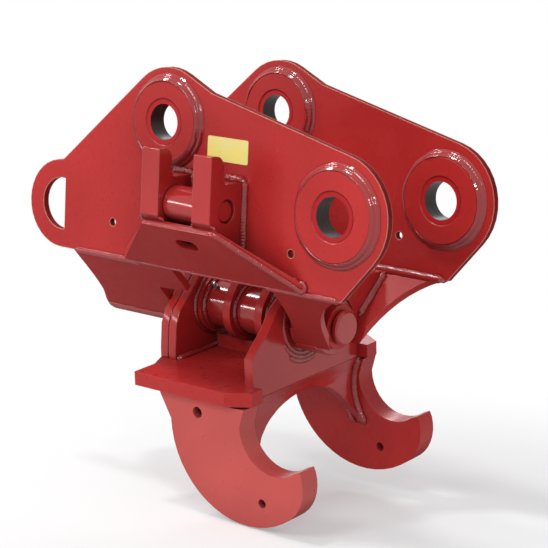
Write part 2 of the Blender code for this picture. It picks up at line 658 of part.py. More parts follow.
def shelf(frame):
    """Cross plate over the hooks, its tabs overhanging them on both sides."""
    slot = FRONT_BULKHEAD_REAR - SEAT_GAP
    slot_half = FRONT_BULKHEAD_HALF_WIDTH + SEAT_GAP
    half = [(slot, 0), (slot, slot_half), (SHELF_TAB_FRONT, slot_half),
            (SHELF_TAB_FRONT, SHELF_HALF_WIDTH - SHELF_CORNER[1]),
            (SHELF_TAB_FRONT - SHELF_CORNER[0], SHELF_HALF_WIDTH),
            (SHELF_TAB_REAR, SHELF_HALF_WIDTH), (SHELF_TAB_REAR, SHELF_TAB_ROOT),
            (TUBE_REAR, REAR_BULKHEAD_FOOT)]
    outline = half + [(x, -y) for x, y in reversed(half[1:])]
    settle('shelf_plate', prism(outline, SHELF_TOP - SHELF_THICKNESS, SHELF_TOP, along_z),
           (slot, 0, SHELF_TOP), paint, frame)


def shouldered(foot, foot_z, shoulder):
    """Bulkhead outline in YZ: a flat foot and stepped shoulders up to the hub."""
    right = [(foot, foot_z)] + list(shoulder)
    return right + [(-y, z) for y, z in reversed(right)]


def bulkheads(frame):
    rear = shouldered(REAR_BULKHEAD_FOOT, SHELF_TOP + SEAT_GAP, REAR_SHOULDER)
    front = shouldered(FRONT_BULKHEAD_HALF_WIDTH, SHELF_TOP - SHELF_THICKNESS, FRONT_SHOULDER)
    plates = (('rear_bulkhead_outer', TUBE_REAR, REAR_BULKHEAD_THICKNESS, rear),
              ('rear_bulkhead_inner', REAR_INNER_X, REAR_BULKHEAD_THICKNESS, rear),
              ('front_bulkhead', FRONT_BULKHEAD_REAR, FRONT_BULKHEAD_THICKNESS, front))
    for name, low, thickness, outline in plates:
        plate = settle(name, prism(outline, low, low + thickness, along_x), (low, 0, 0), paint, frame)
        drill(plate, name + '_cut', (low, 0, 0), 'X', TUBE_RADIUS + SEAT_GAP, 2 * thickness, frame)


def throat_web(frame):
    """Curved plate between the hooks, arched over the throats."""
    centre = (WEB_X, WEB_Z)
    inner = WEB_RADIUS
    outer = WEB_RADIUS + WEB_THICKNESS
    lift = SHELF_TOP - SHELF_THICKNESS - SEAT_GAP - WEB_Z
    foot = degrees(WEB_FOOT_ANGLE)
    outline = arc(centre, inner, 180 - degrees(asin(lift / inner)), foot)
    outline += arc(centre, outer, foot, 180 - degrees(asin(lift / outer)))
    reach = HOOK_INNER - SEAT_GAP
    web = settle('throat_web', prism(outline, -reach, reach, along_y), (WEB_X, 0, WEB_Z), paint, frame)
    drop = ARCH_APEX - ARCH_SPRING
    radius = (reach ** 2 + drop ** 2) / (2 * drop)
    middle = (WEB_X - WEB_RADIUS, 0, ARCH_APEX - radius)
    drill(web, 'arch_cut', middle, 'X', radius, WEB_RADIUS, frame, FINE_STEPS)


def hub_tube(frame):
    """Tube that carries the hook frame on the pivot pin, with its bushes and rib."""
    origin = (0, 0, 0)
    settle('hub_tube', turned(ring(TUBE_BORE_RADIUS, TUBE_RADIUS, TUBE_REAR, TUBE_FRONT), origin, 'X'),
           (TUBE_REAR, 0, 0), paint, frame)
    bore = PIVOT_PIN_RADIUS + RUN_GAP
    skin = TUBE_BORE_RADIUS - SEAT_GAP
    for name, low in (('pivot_bush_rear', TUBE_REAR), ('pivot_bush_front', TUBE_FRONT - BUSH_LENGTH)):
        settle(name, turned(ring(bore, skin, low, low + BUSH_LENGTH), origin, 'X'),
               (low, 0, 0), bronze, frame)
    inner = TUBE_RADIUS + SEAT_GAP
    low = REAR_BULKHEAD_FRONT + SEAT_GAP
    settle('tube_collar', turned(ring(inner, TUBE_COLLAR_RADIUS, low, low + TUBE_COLLAR_THICKNESS),
                                 origin, 'X'), (low, 0, 0), paint, frame)
    rib = prism([(-RIB_THICKNESS / 2, SHELF_TOP + SEAT_GAP), (RIB_THICKNESS / 2, SHELF_TOP + SEAT_GAP),
                 (RIB_THICKNESS / 2, 0), (-RIB_THICKNESS / 2, 0)],
                low + TUBE_COLLAR_THICKNESS + SEAT_GAP, FRONT_BULKHEAD_REAR - SEAT_GAP, along_x)
    body = settle('hub_rib', rib, (low, 0, SHELF_TOP), paint, frame)
    drill(body, 'rib_cut', (CYLINDER_X, 0, 0), 'X', CRANK_RING_RADIUS + SEAT_GAP, -REAR_HUB_END, frame)


def crank(frame):
    """Twin crank lugs on the hub tube that carry the rod pin."""
    pin = (ROD_PIN_LOCAL.y, ROD_PIN_LOCAL.z)
    ring_radius = CRANK_RING_RADIUS
    spread = degrees(acos((ring_radius - CRANK_EYE_RADIUS) / CRANK_RADIUS))
    heading = 90 - degrees(CRANK_ANGLE)
    outline = arc((0, 0), ring_radius, heading + spread, heading + 360 - spread)
    outline += arc(pin, CRANK_EYE_RADIUS, heading - spread, heading + spread)
    inner = ROD_EYE_WIDTH / 2 + SIDE_PLAY
    for label, side in (('rear', -1), ('front', 1)):
        low, high = sorted((CYLINDER_X + side * inner, CYLINDER_X + side * (inner + CRANK_THICKNESS)))
        name = 'crank_lug_' + label
        lug = settle(name, prism(outline, low, high, along_x), (low, 0, 0), paint, frame)
        drill(lug, name + '_tube_cut', (low, 0, 0), 'X', TUBE_RADIUS + SEAT_GAP, 2 * CRANK_THICKNESS, frame)
        drill(lug, name + '_pin_cut', (low, *pin), 'X', ROD_PIN_RADIUS + RUN_GAP,
              2 * CRANK_THICKNESS, frame, SMALL_STEPS)
    end = inner + CRANK_THICKNESS
    settle('rod_pin', turned(disc(ROD_PIN_RADIUS, -end, end, BORE_CHAMFER / 2),
                             (CYLINDER_X, *pin), 'X', SMALL_STEPS), (CYLINDER_X, *pin), steel, frame)


def eye_outline(radius, neck, half_height):
    """Round eye with a straight neck toward +Y, in the YZ plane."""
    turn = degrees(asin(half_height / radius))
    outline = arc((0, 0), radius, turn, 360 - turn)
    return outline + [(neck, -half_height), (neck, half_height)]


def tilt_cylinder():
    """Cylinder along +Y of an empty on the base pin's axis, with its rod extended to rest."""
    base = empty('cylinder_swing_axis', (CYLINDER_X, BASE_PIN_Y, BASE_PIN_Z))
    base.rotation_euler = (CYLINDER_ANGLE, 0, 0)
    centre = (0, 0, 0)
    half_width = LUG_GAP / 2 - SIDE_PLAY
    eye = settle('cylinder_base_eye',
                 prism(eye_outline(BASE_EYE_RADIUS, BASE_EYE_NECK, BASE_EYE_NECK_HALF),
                       -half_width, half_width, along_x), centre, paint, base)
    drill(eye, 'base_eye_bore', centre, 'X', BASE_PIN_RADIUS + RUN_GAP, 2 * half_width, base)
    start = BASE_EYE_NECK + SEAT_GAP
    floor = start + BARREL_CAP
    barrel = [(0, start), (BARREL_RADIUS, start), (BARREL_RADIUS, BARREL_END),
              (BARREL_BORE_RADIUS, BARREL_END), (BARREL_BORE_RADIUS, floor), (0, floor)]
    settle('cylinder_barrel', turned(barrel, centre, 'Y', CYLINDER_STEPS), centre, paint, base)
    hole = ROD_RADIUS + RUN_GAP
    plug = BARREL_BORE_RADIUS - SEAT_GAP
    lip = BARREL_END + SEAT_GAP
    gland = [(hole, BARREL_END - GLAND_DEPTH), (plug, BARREL_END - GLAND_DEPTH), (plug, lip),
             (BARREL_RADIUS, lip), (BARREL_RADIUS, lip + GLAND_FLANGE), (hole, lip + GLAND_FLANGE)]
    settle('cylinder_gland', turned(gland, centre, 'Y', CYLINDER_STEPS), centre, steel, base)
    for index, place in enumerate(PORT_PLACES):
        seat = BARREL_RADIUS + SEAT_GAP
        port = turned(ring(PORT_RADIUS / 2, PORT_RADIUS, seat, seat + PORT_HEIGHT), (0, place, 0),
                      'Z', SMALL_STEPS)
        settle('cylinder_port_%d' % (index + 1), port, (0, place, seat), steel, base)
    travel = empty('rod_slide_axis', (0, CYLINDER_LENGTH, 0), base)
    back = -PISTON_SETBACK
    settle('cylinder_rod', turned(disc(ROD_RADIUS, back, -ROD_EYE_NECK, BORE_CHAMFER / 2), centre, 'Y',
                                  CYLINDER_STEPS), centre, chrome, travel)
    settle('cylinder_piston', turned(ring(ROD_RADIUS + SEAT_GAP, BARREL_BORE_RADIUS - RUN_GAP,
                                          back, back + PISTON_LENGTH), centre, 'Y', CYLINDER_STEPS),
           centre, steel, travel)
    radius = ROD_EYE_BORE + ROD_EYE_WALL
    mirrored = [(-y, z) for y, z in eye_outline(radius, ROD_EYE_NECK - SEAT_GAP, ROD_RADIUS)]
    end = settle('cylinder_rod_eye', prism(mirrored, -ROD_EYE_WIDTH / 2, ROD_EYE_WIDTH / 2, along_x),
                 centre, steel, travel)
    drill(end, 'rod_eye_bore', centre, 'X', ROD_EYE_BORE, ROD_EYE_WIDTH, travel, CYLINDER_STEPS)


def nipple(name, foot, direction, parent):
    """Grease nipple: round base, waist and ball head along a direction from its foot."""
    profile = [(0, 0)]
    profile += [(NIPPLE_RADIUS * r, NIPPLE_HEIGHT * h) for r, h in NIPPLE_PROFILE]
    profile += [(0, NIPPLE_HEIGHT)]
    builder = turned(profile, (0, 0, 0), 'Z', NIPPLE_STEPS)
    turn = Vector((0, 0, 1)).rotation_difference(Vector(direction)).to_matrix().to_4x4()
    bmesh.ops.transform(builder, matrix=Matrix.Translation(foot) @ turn, verts=builder.verts)
    settle(name, builder, foot, steel, parent)


def nipples(frame):
    seat = TUBE_RADIUS + SEAT_GAP
    for label, x, angle in (('rear', TUBE_REAR + BUSH_LENGTH - NIPPLE_INSET, radians(125)),
                            ('front', FRONT_BULKHEAD_REAR - NIPPLE_INSET, radians(155))):
        direction = (0, cos(angle), sin(angle))
        nipple('grease_nipple_' + label, (x, seat * cos(angle), seat * sin(angle)), direction, frame)


def build():
    clear_scene()
    side_plates()
    bosses()
    saddles()
    pivot_pin()
    cylinder_mount()
    pocket_plate()
    frame = empty('hook_frame_axis', (0, 0, -PIVOT_DROP))
    frame.rotation_euler = (REST_TILT, 0, 0)
    hooks(frame)
    shelf(frame)
    bulkheads(frame)
    throat_web(frame)
    hub_tube(frame)
    crank(frame)
    nipples(frame)
    tilt_cylinder()


build()
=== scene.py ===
"""Looks of the tilting quick coupler: paint, weld beads, worn edges, floor and light.

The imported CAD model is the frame. Every bead of weld follows a corner, an edge or a face
of that model, so the sizes below repeat those of the model, in metres.
"""
import json
from math import acos, asin, atan2, cos, degrees, hypot, pi, radians, sin, sqrt

import bmesh
import bpy
from mathutils import Matrix, Vector, noise


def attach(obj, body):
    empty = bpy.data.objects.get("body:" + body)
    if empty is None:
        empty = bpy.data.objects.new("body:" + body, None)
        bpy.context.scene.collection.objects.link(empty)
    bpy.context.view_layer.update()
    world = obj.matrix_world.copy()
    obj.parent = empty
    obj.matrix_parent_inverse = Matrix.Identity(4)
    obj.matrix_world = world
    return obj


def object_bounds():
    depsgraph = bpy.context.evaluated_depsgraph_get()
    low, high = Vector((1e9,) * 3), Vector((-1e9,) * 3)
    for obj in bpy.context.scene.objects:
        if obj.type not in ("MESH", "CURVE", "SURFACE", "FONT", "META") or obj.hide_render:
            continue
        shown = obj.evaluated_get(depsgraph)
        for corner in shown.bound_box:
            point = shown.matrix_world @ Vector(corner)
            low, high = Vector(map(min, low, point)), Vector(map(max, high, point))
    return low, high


# Camera fitted to the photograph
AZIMUTH = radians(39.02)
ELEVATION = radians(10.64)
ROLL = radians(2.65)
FOCAL_PIXELS = 2174.99
IMAGE_SIZE = 548
SHIFT_RIGHT = 0.19386
SHIFT_UP = 0.10650
DISTANCE = 3.50596
SENSOR = 36.0
CLIP_END = 100

# Edges sharper than this keep their corner in the shading
SHARP_ANGLE = radians(30)

# Upper frame
PLATE_OUTER = 0.1515
PLATE_INNER = 0.1395
PLATE_BOTTOM = -0.135
BOSSES = (("dipper", 0.0, 0.0, 0.074), ("link", -0.360, 0.110, 0.068))
PIVOT_DROP = 0.213
HUB_RADIUS = 0.050
FLANK_THICKNESS = 0.012
FRONT_FLANK = (-0.136, 0.012)
REAR_FLANK = (-0.566, -0.412)
FRONT_HUB = (-0.1654, -0.1074)
CROSS_PLATE = (-0.1274, -0.1074)
REAR_HUB = (-0.592, -0.410)
LUG_FACES = (-0.338, -0.300, -0.227, -0.189)
LUG_END = -0.2355
LUG_SHOULDER = 0.030
POCKET_RISE = 0.086
POCKET_RUN = 0.084
POCKET_THICKNESS = 0.012
POCKET_FOOT = (-0.448, -0.055)
POCKET_TOP = (-0.335, -0.185)

# Hook frame, in its own axes before it is rolled
REST_TILT = radians(7.0)
TUBE_RADIUS = 0.042
SHELF_TOP = -0.079
SHELF_BOTTOM = -0.103
REAR_BULKHEAD = (-0.4054, -0.3714)
FRONT_BULKHEAD = (-0.188, -0.170)
REAR_FOOT = 0.104
FRONT_FOOT = 0.138
COLLAR = (-0.3711, -0.3591)
COLLAR_RADIUS = 0.052
CRANK_FACES = (-0.3065, -0.2905, -0.2365, -0.2205)
HOOK_INNER = 0.142
HOOK_SEAM = (-0.340, -0.190)
WEB_CENTRE = (-0.066, -0.155)
WEB_RADIUS = 0.116
WEB_THICKNESS = 0.016
ARCH_RADIUS = 0.1504
ARCH_Z = -0.2764

# Weld beads: lengths in metres, the groove's half width as a share of the bead
BEAD_STEP = 0.0015
BEAD_POINTS = 7
RIPPLE_PITCH = 0.0052
RIPPLE_HEIGHT = 0.0013
GROOVE_DEPTH = 0.0016
GROOVE_HALF_WIDTH = 0.1
SINK = 0.0004
RING_STEPS = 72
WEB_STEPS = 24
HUB_INSET = 0.002
CROSS_START = 0.004
CROSS_STOP = 0.062

# Blank patch on the near plate
PATCH_X = (-0.271, -0.185)
PATCH_Z = (0.058, 0.0975)
PATCH_ROUND = 0.003
FILM_BACK = 0.0002
FILM_FRONT = 0.0006

# Enamel: a tint is the share of the paint's colour that stays
RED = (0.44, 0.022, 0.021)
WEAR_RADIUS = 0.0022
SCUFF_RED = (0.16, 0.035, 0.032)
# Painted shade: the enamel is darkened in recesses, found by ambient occlusion within this reach
PAINTED_SHADE_REACH = 0.16
PAINTED_SHADE_TINT = 0.42
# Painted shade: faces that look down at the floor are darkened, and made duller
UNDERSIDE_SHADE_TINT = 0.40
UNDERSIDE_SHADE_SHARE = 0.6
BELOW_DULL = 0.45
# Painted shade: the plates' cut edges are darker, and duller
CUT_EDGE_SHADE_TINT = 0.45
CUT_DULL = 0.60
# Painted highlight: a pale pink line along the side plates' arrises
ARRIS_HIGHLIGHT_PINK = (0.80, 0.40, 0.30)

# Floor: between the near and the far distance it runs out to white
FLOOR_NEAR = 0.45
FLOOR_FAR = 1.10
FLOOR_WHITE_NEAR = 0.35
FLOOR_GREY = 0.86
FLOOR_HALF = 14
FLOOR_DROP = 0.002

# Light: name, place, size and power of each lamp
WORLD_LIGHT = 0.44
LAMP_TARGET = (-0.25, 0, -0.15)
LAMPS = (
    ("key", (-0.4, -3.3, 2.3), (1.2, 1.2), 50),
    ("low", (-1.99, -2.08, 0.40), (0.2, 0.25), 5),
    ("fill", (2.6, -2.6, 1.9), (0.25, 0.45), 20),
    ("over", (-0.8, -0.8, 2.4), (0.3, 0.35), 24),
    ("side", (-1.85, -0.5, 1.8), (0.25, 0.35), 14),
    ("back", (-1.7, 2.5, 1.5), (1.4, 0.5), 24),
)

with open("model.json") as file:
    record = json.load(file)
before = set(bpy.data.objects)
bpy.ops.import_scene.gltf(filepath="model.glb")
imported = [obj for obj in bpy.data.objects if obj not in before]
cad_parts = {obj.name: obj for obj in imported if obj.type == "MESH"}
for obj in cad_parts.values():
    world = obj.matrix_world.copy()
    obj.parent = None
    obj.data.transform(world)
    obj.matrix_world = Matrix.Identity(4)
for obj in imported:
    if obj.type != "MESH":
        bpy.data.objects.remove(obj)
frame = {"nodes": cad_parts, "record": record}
cad_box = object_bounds()
nodes = frame["nodes"]
roll = Matrix.Translation((0, 0, -PIVOT_DROP)) @ Matrix.Rotation(REST_TILT, 4, "X")


class Tree:
    """Short calls for building a material's nodes."""

    def __init__(self, name):
        self.material = bpy.data.materials.new(name)
        self.material.use_nodes = True
        self.tree = self.material.node_tree
        self.shader = self.tree.nodes["Principled BSDF"]
        self.coords = self.tree.nodes.new("ShaderNodeTexCoord").outputs["Object"]

    def node(self, kind, **settings):
        made = self.tree.nodes.new("ShaderNode" + kind)
        for key, value in settings.items():
            setattr(made, key, value)
        return made

    def link(self, source, target):
        self.tree.links.new(source, target)

    def noise(self, scale, detail=3.0, rough=0.5, stretch=None):
        made = self.node("TexNoise")
        made.inputs["Scale"].default_value = scale
        made.inputs["Detail"].default_value = detail
        made.inputs["Roughness"].default_value = rough
        if stretch:
            mapping = self.node("Mapping")
            mapping.inputs["Scale"].default_value = stretch
            self.link(self.coords, mapping.inputs["Vector"])
            self.link(mapping.outputs["Vector"], made.inputs["Vector"])
        else:
            self.link(self.coords, made.inputs["Vector"])
        return made.outputs["Fac"]

    def span(self, value, low, high, to_low=0.0, to_high=1.0, **settings):
        made = self.node("MapRange", **settings)
        self.link(value, made.inputs["Value"])
        for key, number in (("From Min", low), ("From Max", high),
                            ("To Min", to_low), ("To Max", to_high)):
            made.inputs[key].default_value = number
        return made.outputs["Result"]

    def math(self, operation, first, second):
        made = self.node("Math", operation=operation)
        for socket, value in zip(made.inputs, (first, second)):
            if isinstance(value, (int, float)):
                socket.default_value = value
            else:
                self.link(value, socket)
        return made.outputs[0]

    def mix(self, factor, first, second):
        made = self.node("Mix", data_type="RGBA")
        self.link(factor, made.inputs["Factor"])
        for key, value in ((6, first), (7, second)):
            if isinstance(value, tuple):
                made.inputs[key].default_value = (*value, 1.0)
            else:
                self.link(value, made.inputs[key])
        return made.outputs[2]

    def bump(self, height, strength, distance, normal=None):
        made = self.node("Bump")
        made.inputs["Strength"].default_value = strength
        made.inputs["Distance"].default_value = distance
        self.link(height, made.inputs["Height"])
        if normal:
            self.link(normal, made.inputs["Normal"])
        return made.outputs["Normal"]

    def rounded(self, radius):
        made = self.node("Bevel", samples=6)
        made.inputs["Radius"].default_value = radius
        return made.outputs["Normal"]

    def shelter(self, reach):
        """Value that falls from 1 in the open to 0 deep in a recess."""
        made = self.node("AmbientOcclusion", samples=4)
        made.inputs["Distance"].default_value = reach
        return made.outputs["AO"]

    def underside(self):
        """Mask that is 1 on faces that look down at the floor."""
        facing = self.node("SeparateXYZ")
        self.link(self.node("NewGeometry").outputs["Normal"], facing.inputs[0])
        return self.span(facing.outputs["Z"], -0.2, -0.65)

    def sideways(self, low, high):
        """Mask by how squarely a face looks along Y in its piece's own axes."""
        facing = self.node("SeparateXYZ")
        self.link(self.node("TexCoord").outputs["Normal"], facing.inputs[0])
        return self.span(self.math("ABSOLUTE", facing.outputs["Y"], 0.0), low, high)

    def edges(self, radius, tight):
        """Mask that is 1 along sharp edges and in corners."""
        dot = self.node("VectorMath", operation="DOT_PRODUCT")
        self.link(self.rounded(radius), dot.inputs[0])
        self.link(self.node("NewGeometry").outputs["Normal"], dot.inputs[1])
        return self.span(dot.outputs["Value"], 1.0, tight)


def tinted(colour, share, lift=0.0):
    return tuple(c * share + lift for c in colour)


def red_paint(name, colour=RED, rough=(0.24, 0.38), gloss=0.18, plate=0.35, wear=0.5,
              arris=0.0014, peel=0.10, rim=False):
    """Thick glossy enamel over hot-rolled plate, with painted shade in recesses and on faces that
    look down. With rim the plate's cut edge is dull and darker, a painted shade, and carries a
    painted highlight along its arrises.

    plate is how wavy the plate is, arris how far its edges are rounded, and peel
    how much orange peel the enamel has.
    """
    t = Tree(name)
    broad = t.noise(3.5, 2.0)
    fine = t.noise(55.0, 4.0, 0.6)
    tone = t.mix(t.span(broad, 0.3, 0.7), tinted(colour, 0.80), tinted(colour, 1.12, 0.004))
    thin = (colour[0] * 1.25, colour[1] * 4.0 + 0.02, colour[2] * 3.0 + 0.02)
    patchy = t.span(t.noise(38.0, 5.0, 0.7), 0.42, 0.66)
    worn = t.math("MULTIPLY", t.edges(WEAR_RADIUS, 0.90), patchy)
    tone = t.mix(t.math("MULTIPLY", worn, wear), tone, thin)
    streaks = t.span(t.noise(24.0, 8.0, 0.75, (1.0, 1.0, 3.5)), 0.70, 0.76)
    tone = t.mix(t.math("MULTIPLY", streaks, 0.25 * wear), tone, SCUFF_RED)
    # Painted shade: the paint turns darker deep in recesses and between parts
    unshaded_share = t.span(t.shelter(PAINTED_SHADE_REACH), 0.0, 0.50)
    tone = t.mix(unshaded_share, tinted(colour, PAINTED_SHADE_TINT, 0.004), tone)
    # Painted shade: faces that look down are darker, and rougher
    below = t.underside()
    tone = t.mix(t.math("MULTIPLY", below, UNDERSIDE_SHADE_SHARE), tone, tinted(colour, UNDERSIDE_SHADE_TINT))
    dull = t.math("MULTIPLY", below, BELOW_DULL)
    if rim:
        # Painted shade: the cut edge faces are darkened
        cut = t.sideways(0.6, 0.4)
        tone = t.mix(cut, tone, tinted(colour, CUT_EDGE_SHADE_TINT))
        # Painted highlight: a pale pink line along the arrises
        arris_highlight = t.math("MULTIPLY", t.edges(WEAR_RADIUS, 0.93), 0.75)
        tone = t.mix(arris_highlight, tone, ARRIS_HIGHLIGHT_PINK)
        dull = t.math("MAXIMUM", dull, t.math("MULTIPLY", cut, CUT_DULL))
    t.link(tone, t.shader.inputs["Base Color"])
    t.link(t.math("ADD", t.span(fine, 0.3, 0.7, *rough), dull), t.shader.inputs["Roughness"])
    t.shader.inputs["Specular IOR Level"].default_value = gloss
    soft = t.bump(t.noise(16.0, 3.0), plate, 0.0012, t.rounded(arris))
    if peel:
        soft = t.bump(t.noise(420.0, 2.0), peel, 0.0004, soft)
    t.link(soft, t.shader.inputs["Normal"])
    return t.material


def bare_metal(name, colour, rough=(0.25, 0.45), grain=(1.0, 1.0, 1.0),
               dirt=(0.05, 0.035, 0.03)):
    """Machined or plated metal with handling marks and old grease."""
    t = Tree(name)
    marks = t.noise(70.0, 6.0, 0.7, grain)
    tone = t.mix(t.span(t.noise(22.0, 5.0, 0.65), 0.45, 0.75), colour, dirt)
    t.link(tone, t.shader.inputs["Base Color"])
    t.shader.inputs["Metallic"].default_value = 1.0
    t.link(t.span(marks, 0.3, 0.7, *rough), t.shader.inputs["Roughness"])
    t.link(t.bump(marks, 0.25, 0.0003, t.rounded(0.0006)), t.shader.inputs["Normal"])
    return t.material


def bored_bush(name):
    """Bush with painted end faces and a very dark bore."""
    t = Tree(name)
    end = t.sideways(0.5, 0.6)
    marks = t.noise(60.0, 6.0, 0.7, (1.0, 6.0, 1.0))
    bore_tone = t.mix(t.span(marks, 0.4, 0.7), (0.018, 0.012, 0.011), (0.055, 0.032, 0.028))
    t.link(t.mix(end, bore_tone, (0.40, 0.010, 0.013)), t.shader.inputs["Base Color"])
    t.shader.inputs["Roughness"].default_value = 0.42
    t.shader.inputs["Specular IOR Level"].default_value = 0.2
    return t.material


def yellow_film(name):
    """Blank yellow plastic film, a little faded and scuffed."""
    t = Tree(name)
    worn = t.noise(130.0, 6.0, 0.7)
    tone = t.mix(t.span(t.noise(30.0, 3.0), 0.35, 0.7), (0.86, 0.72, 0.16), (0.80, 0.70, 0.26))
    tone = t.mix(t.span(worn, 0.62, 0.75), tone, (0.55, 0.45, 0.14))
    t.link(tone, t.shader.inputs["Base Color"])
    t.link(t.span(worn, 0.3, 0.7, 0.28, 0.5), t.shader.inputs["Roughness"])
    t.link(t.bump(t.noise(60.0, 2.0), 0.15, 0.0004), t.shader.inputs["Normal"])
    return t.material


def dress(obj, finish):
    obj.data.materials.clear()
    obj.data.materials.append(finish)


def finishes():
    """Every finish by the name that pieces ask for."""
    weld_red = (0.33, 0.014, 0.014)
    # Painted reflection: a lighter pink red that stands in for the pale floor mirrored in the near
    # hook
    fitting_red = (0.41, 0.020, 0.019)
    floor_reflection_red = (0.56, 0.080, 0.070)
    return {
        "plate": red_paint("paint_plate"),
        "weld": red_paint("paint_weld", weld_red, (0.05, 0.11), 0.62, 0.10, 0.10, peel=0.0),
        "fitting": red_paint("paint_fitting", fitting_red, (0.10, 0.20), 0.50, 0.3, 0.6),
        "floor_reflection_pink": red_paint("paint_floor_reflection", floor_reflection_red, (0.26, 0.42), 0.25, 0.35, 0.3),
        "glossy": red_paint("paint_glossy", RED, (0.12, 0.20), 0.40, 0.15, 0.5, arris=0.0030),
        "side": red_paint("paint_side", rim=True),
        "bush": bored_bush("bush_dark_bore"),
        "steel": bare_metal("bolt_steel", (0.34, 0.32, 0.31)),
        "chrome": bare_metal("rod_chrome", (0.72, 0.72, 0.74), (0.05, 0.14),
                             (1.0, 14.0, 14.0), (0.30, 0.28, 0.26)),
        "bronze": bare_metal("bush_bronze", (0.42, 0.27, 0.12), (0.28, 0.5)),
        "film": yellow_film("film_yellow"),
    }


looks = finishes()
slots = {"red_paint": "plate", "bare_steel": "steel", "chrome": "chrome", "bronze": "bronze"}
for entry in frame["record"]["subparts"]:
    dress(nodes[entry["node"]], looks[slots[entry["material_slot"]]])
for name in ("dipper_bush_near", "dipper_bush_far", "link_bush_near", "link_bush_far"):
    dress(nodes[name], looks["bush"])
for name in ("front_hub", "pivot_pin", "hub_tube", "cylinder_barrel", "cylinder_base_eye"):
    dress(nodes[name], looks["fitting"])
for name in ("front_bulkhead", "throat_web", "rear_bulkhead_outer", "rear_bulkhead_inner",
             "cylinder_lug_front", "cylinder_lug_rear"):
    dress(nodes[name], looks["glossy"])
# The near hook gets a lighter pink paint, a painted reflection of the floor
dress(nodes["hook_near"], looks["floor_reflection_pink"])
for name in ("side_plate_near", "side_plate_far"):
    dress(nodes[name], looks["side"])


def smooth_rounds(mesh):
    """Corner normals averaged over the faces round each spot, but not across sharp edges."""
    spots = [tuple(round(c, 6) for c in v.co) for v in mesh.vertices]
    around = {}
    for face in mesh.polygons:
        for i in face.vertices:
            around.setdefault(spots[i], []).append((face.normal.copy(), face.area))
    limit = cos(SHARP_ANGLE)
    normals = []
    for face in mesh.polygons:
        for i in face.vertices:
            total = Vector()
            for normal, size in around[spots[i]]:
                if normal.dot(face.normal) > limit:
                    total += normal * size
            normals.append(total.normalized())
    mesh.shade_smooth()
    mesh.normals_split_custom_set(normals)


for node in nodes.values():
    if node.type == "MESH":
        smooth_rounds(node.data)


def added(name, data):
    """Object that holds the data, put in the scene."""
    obj = bpy.data.objects.new(name, data)
    bpy.context.scene.collection.objects.link(obj)
    return obj


def finish_piece(name, builder, finish, body, smooth=True):
    """Turn a built mesh into a piece that rides a body."""
    bmesh.ops.recalc_face_normals(builder, faces=builder.faces)
    mesh = bpy.data.meshes.new(name)
    builder.to_mesh(mesh)
    builder.free()
    if smooth:
        mesh.shade_smooth()
    mesh.materials.append(looks[finish])
    obj = added(name, mesh)
    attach(obj, body)


def even(stations, closed):
    """Stations (point, a, b) resampled to an even step, with the distance run at each."""
    loop = list(stations)
    if closed:
        loop.append(stations[0])
    lengths = [(loop[i + 1][0] - loop[i][0]).length for i in range(len(loop) - 1)]
    total = sum(lengths)
    count = max(4, round(total / BEAD_STEP))
    made = []
    segment = 0
    passed = 0.0
    for i in range(count if closed else count + 1):
        want = total * i / count
        while segment < len(lengths) - 1 and passed + lengths[segment] < want:
            passed += lengths[segment]
            segment += 1
        t = (want - passed) / max(lengths[segment], 1e-9)
        point, a, b = (loop[segment][k].lerp(loop[segment + 1][k], t) for k in range(3))
        made.append((point, a.normalized(), b.normalized(), want))
    return made, total


def bead(name, stations, body="upper_frame", leg=0.008, crown=0.0012, closed=False,
         over=False, seed=0.0, pitch=RIPPLE_PITCH, ripple=RIPPLE_HEIGHT, lanes=1,
         points=BEAD_POINTS):
    """Rippled weld bead. A station is a corner point and the two ways its legs run.

    over=True lays the bead on an outside corner instead of in an inside one. Two
    lanes are passes laid side by side, with a groove between them.
    """
    made, total = even(stations, closed)
    if closed:
        pitch = total / max(1, round(total / pitch))
    builder = bmesh.new()
    rings = []
    for point, a, b, run in made:
        ends = 1.0
        if not closed:
            ends = min(1.0, 0.25 + min(run, total - run) / leg)
        sway = noise.noise(Vector((run * 45.0 + seed * 7.3, seed, 0.5)))
        size = leg * ends * (1 + 0.13 * sway)
        normal = (a + b).normalized()
        if over:
            normal = -normal
            first = point + a * size - normal * SINK
            last = point + b * size - normal * SINK
            middle = point + normal * crown * ends
        else:
            first = point + a * size - b * SINK
            last = point + b * size - a * SINK
            middle = (first + last) / 2 + normal * crown * ends
        pull = middle * 2 - (first + last) / 2
        ring = [point - normal * SINK * 2]
        for i in range(points):
            t = i / (points - 1)
            spot = first * (1 - t) ** 2 + pull * 2 * t * (1 - t) + last * t ** 2
            phase = (run / pitch + 0.55 * (2 * t - 1) ** 2) % 1.0
            wave = sin(pi * phase ** 0.6)
            grain = noise.noise(spot * 260.0) * 0.3 + noise.noise(spot * 90.0) * 0.5
            lift = ripple * ends * 4 * t * (1 - t) * (wave + grain)
            if lanes > 1:
                lift -= GROOVE_DEPTH * max(0.0, 1 - abs(t - 0.5) / GROOVE_HALF_WIDTH)
            ring.append(spot + normal * lift)
        rings.append([builder.verts.new(p) for p in ring])
    count = len(rings)
    width = len(rings[0])
    for i in range(count if closed else count - 1):
        here = rings[i]
        there = rings[(i + 1) % count]
        for k in range(width):
            m = (k + 1) % width
            builder.faces.new((here[k], here[m], there[m], there[k]))
    if not closed:
        builder.faces.new(rings[0])
        builder.faces.new(rings[-1])
    finish_piece(name, builder, "weld", body)


def rolled(stations):
    """Stations given in the hook frame's own axes, brought to where it rests."""
    turn = roll.to_3x3()
    return [(roll @ p, turn @ a, turn @ b) for p, a, b in stations]


def hook_bead(name, stations, **settings):
    bead(name, rolled(stations), "hook_frame", **settings)


